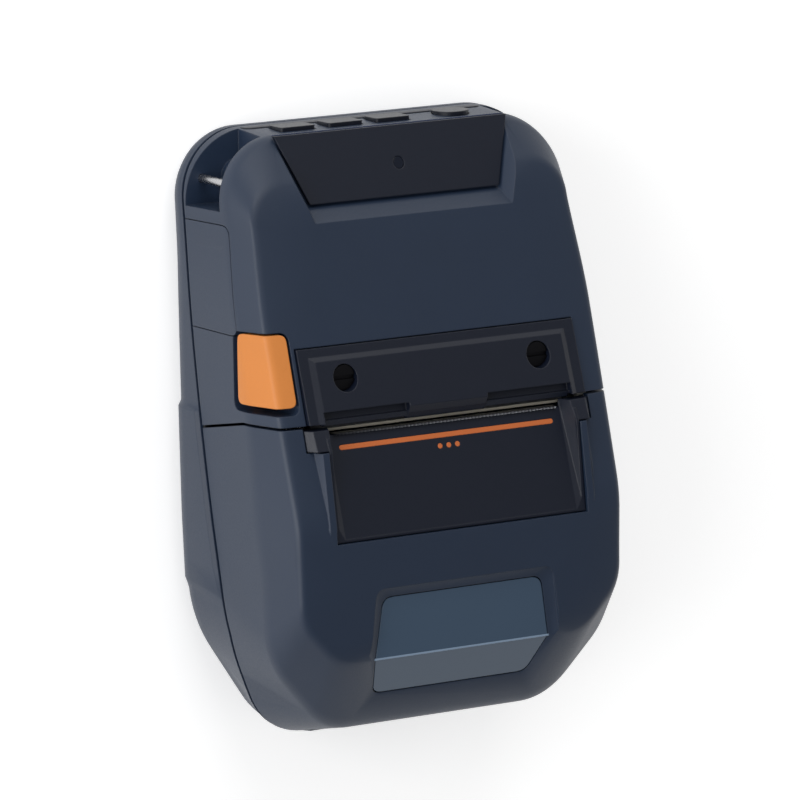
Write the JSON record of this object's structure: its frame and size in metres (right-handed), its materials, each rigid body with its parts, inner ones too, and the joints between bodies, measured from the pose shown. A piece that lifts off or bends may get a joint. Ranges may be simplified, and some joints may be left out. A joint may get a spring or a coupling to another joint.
{
  "type": "mobile printer",
  "caption": "Handheld receipt printer for paper rolls, with a hinged roll cover, release lever, keys, port door, roll guides and battery pack.",
  "frame": {"origin": "middle of the printer's flat back, under the middle of its outline", "axes": "+Z out of the back toward the paper exit, +Y along the length toward the keys, +X to the side away from the port door and the release lever"},
  "size_m": [0.119, 0.1795, 0.0688],
  "materials": {
    "grey_case": "fine moulded texture",
    "navy_case": "fine moulded texture with a slight sparkle",
    "black_rubber": "matt",
    "black_trim": "fine moulded texture",
    "key_gloss": "polished",
    "smoke_window": "polished, smoke tinted",
    "orange_plastic": "satin",
    "black_plastic": "moulded",
    "white_plastic": "natural acetal",
    "steel_parts": "bright drawn or blanked steel",
    "dark_screws": "black oxide",
    "zinc_parts": "zinc plated",
    "alloy_sink": "plain extruded",
    "ceramic_head": "glazed",
    "board_green": "solder resist",
    "gilt_contacts": "bright"
  },
  "bodies": {
    "base": {"rear_casing": "grey_case", "front_casing": "navy_case", "body_seal": "black_rubber", "control_panel": "black_trim", "indicator_lens": "smoke_window", "exit_bezel": "black_trim", "bezel_screws": "dark_screws", "strap_bars": "steel_parts", "casing_screws": "dark_screws", "mechanism_frame": "steel_parts", "frame_screws": "dark_screws", "paper_guide": "black_plastic", "print_head": "ceramic_head", "head_heatsink": "alloy_sink", "head_springs": "steel_parts", "drive_motor": "zinc_parts", "idler_pin": "steel_parts", "paper_sensor": "black_plastic", "main_board": "board_green", "board_screws": "dark_screws", "key_board": "board_green", "key_domes": "white_plastic", "port_connector": "zinc_parts", "contact_holder": "black_plastic", "battery_contacts": "gilt_contacts", "cover_hinge_pin": "steel_parts", "guide_rail": "zinc_parts", "lift_spring": "steel_parts", "lever_pin": "steel_parts", "battery_pack": "black_plastic", "battery_terminals": "gilt_contacts", "catch_spring": "steel_parts"},
    "cover": {"roll_cover": "navy_case", "cover_insert": "black_trim", "stripe_inlay": "orange_plastic", "tear_bar": "steel_parts", "window": "smoke_window", "window_seal": "black_rubber", "platen_carrier": "black_plastic", "platen_bushes": "white_plastic", "carrier_screws": "dark_screws"},
    "platen": {"platen_roller": "black_rubber", "platen_shaft": "steel_parts", "platen_gear": "white_plastic"},
    "idler": {"idler_gear": "white_plastic"},
    "pinion": {"motor_pinion": "gilt_contacts"},
    "lever": {"release_lever": "orange_plastic"},
    "lifter": {"lift_shaft": "steel_parts", "lift_crank": "zinc_parts", "lift_arms": "zinc_parts"},
    "power_button": {"power_key": "key_gloss"},
    "feed_button": {"feed_key": "key_gloss"},
    "wireless_button": {"wireless_key": "key_gloss"},
    "pairing_button": {"pairing_key": "key_gloss"},
    "port_flap": {"port_door": "grey_case"},
    "left_guide": {"roll_guide_left": "black_plastic"},
    "right_guide": {"roll_guide_right": "black_plastic"},
    "guide_gear": {"guide_pinion": "white_plastic"},
    "catch": {"battery_catch": "grey_case"}
  },
  "joints": [
    {"name": "cover_open", "type": "hinge", "parent": "base", "child": "cover", "pos_m": [0, -0.0828, 0.0235], "axis": [1, 0, 0], "range_deg": [0, 95]},
    {"name": "platen_turn", "type": "hinge", "parent": "cover", "child": "platen", "pos_m": [0, 0.0005, 0.05], "axis": [1, 0, 0], "continuous": true},
    {"name": "idler_turn", "type": "hinge", "parent": "base", "child": "idler", "pos_m": [0, 0.0121, 0.0401], "axis": [1, 0, 0], "continuous": true},
    {"name": "pinion_turn", "type": "hinge", "parent": "base", "child": "pinion", "pos_m": [0, 0.02331, 0.03568], "axis": [1, 0, 0], "continuous": true},
    {"name": "lift_turn", "type": "hinge", "parent": "base", "child": "lifter", "pos_m": [0, 0.0125, 0.0295], "axis": [1, 0, 0], "range_deg": [-9.5, 0], "stiffness_Nm_per_rad": 0.05, "springref_deg": 5.73},
    {"name": "lever_press", "type": "hinge", "parent": "base", "child": "lever", "pos_m": [-0.052, 0.019, 0.044], "axis": [1, 0, 0], "range_deg": [0, 7.4]},
    {"name": "power_press", "type": "slide", "parent": "base", "child": "power_button", "axis": [0, -1, 0], "range_m": [0, 0.0007], "stiffness_N_per_m": 700},
    {"name": "feed_press", "type": "slide", "parent": "base", "child": "feed_button", "axis": [0, -1, 0], "range_m": [0, 0.0007], "stiffness_N_per_m": 700},
    {"name": "wireless_press", "type": "slide", "parent": "base", "child": "wireless_button", "axis": [0, -1, 0], "range_m": [0, 0.0007], "stiffness_N_per_m": 700},
    {"name": "pairing_press", "type": "slide", "parent": "base", "child": "pairing_button", "axis": [0, -1, 0], "range_m": [0, 0.0007], "stiffness_N_per_m": 700},
    {"name": "door_bend", "type": "hinge", "parent": "base", "child": "port_flap", "pos_m": [-0.0585, 0.0642, 0.024], "axis": [0, 0, -1], "range_deg": [0, 100]},
    {"name": "left_slide", "type": "slide", "parent": "base", "child": "left_guide", "axis": [1, 0, 0], "range_m": [0, 0.024]},
    {"name": "right_slide", "type": "slide", "parent": "base", "child": "right_guide", "axis": [-1, 0, 0], "range_m": [0, 0.024]},
    {"name": "guide_turn", "type": "hinge", "parent": "base", "child": "guide_gear", "pos_m": [0, -0.04, 0.0042], "axis": [0, 0, 1], "range_deg": [0, 343.77]},
    {"name": "catch_slide", "type": "slide", "parent": "base", "child": "catch", "axis": [0, 1, 0], "range_m": [0, 0.0018], "stiffness_N_per_m": 400, "springref_m": -0.001}
  ],
  "couplings": [
    {"joint": "idler_turn", "follows": "platen_turn", "ratio": -0.9},
    {"joint": "pinion_turn", "follows": "platen_turn", "ratio": 1.8},
    {"joint": "lever_press", "follows": "lift_turn", "ratio": -0.778},
    {"joint": "right_slide", "follows": "left_slide", "ratio": 1},
    {"joint": "guide_turn", "follows": "left_slide", "rad_per_m": 250}
  ]
}
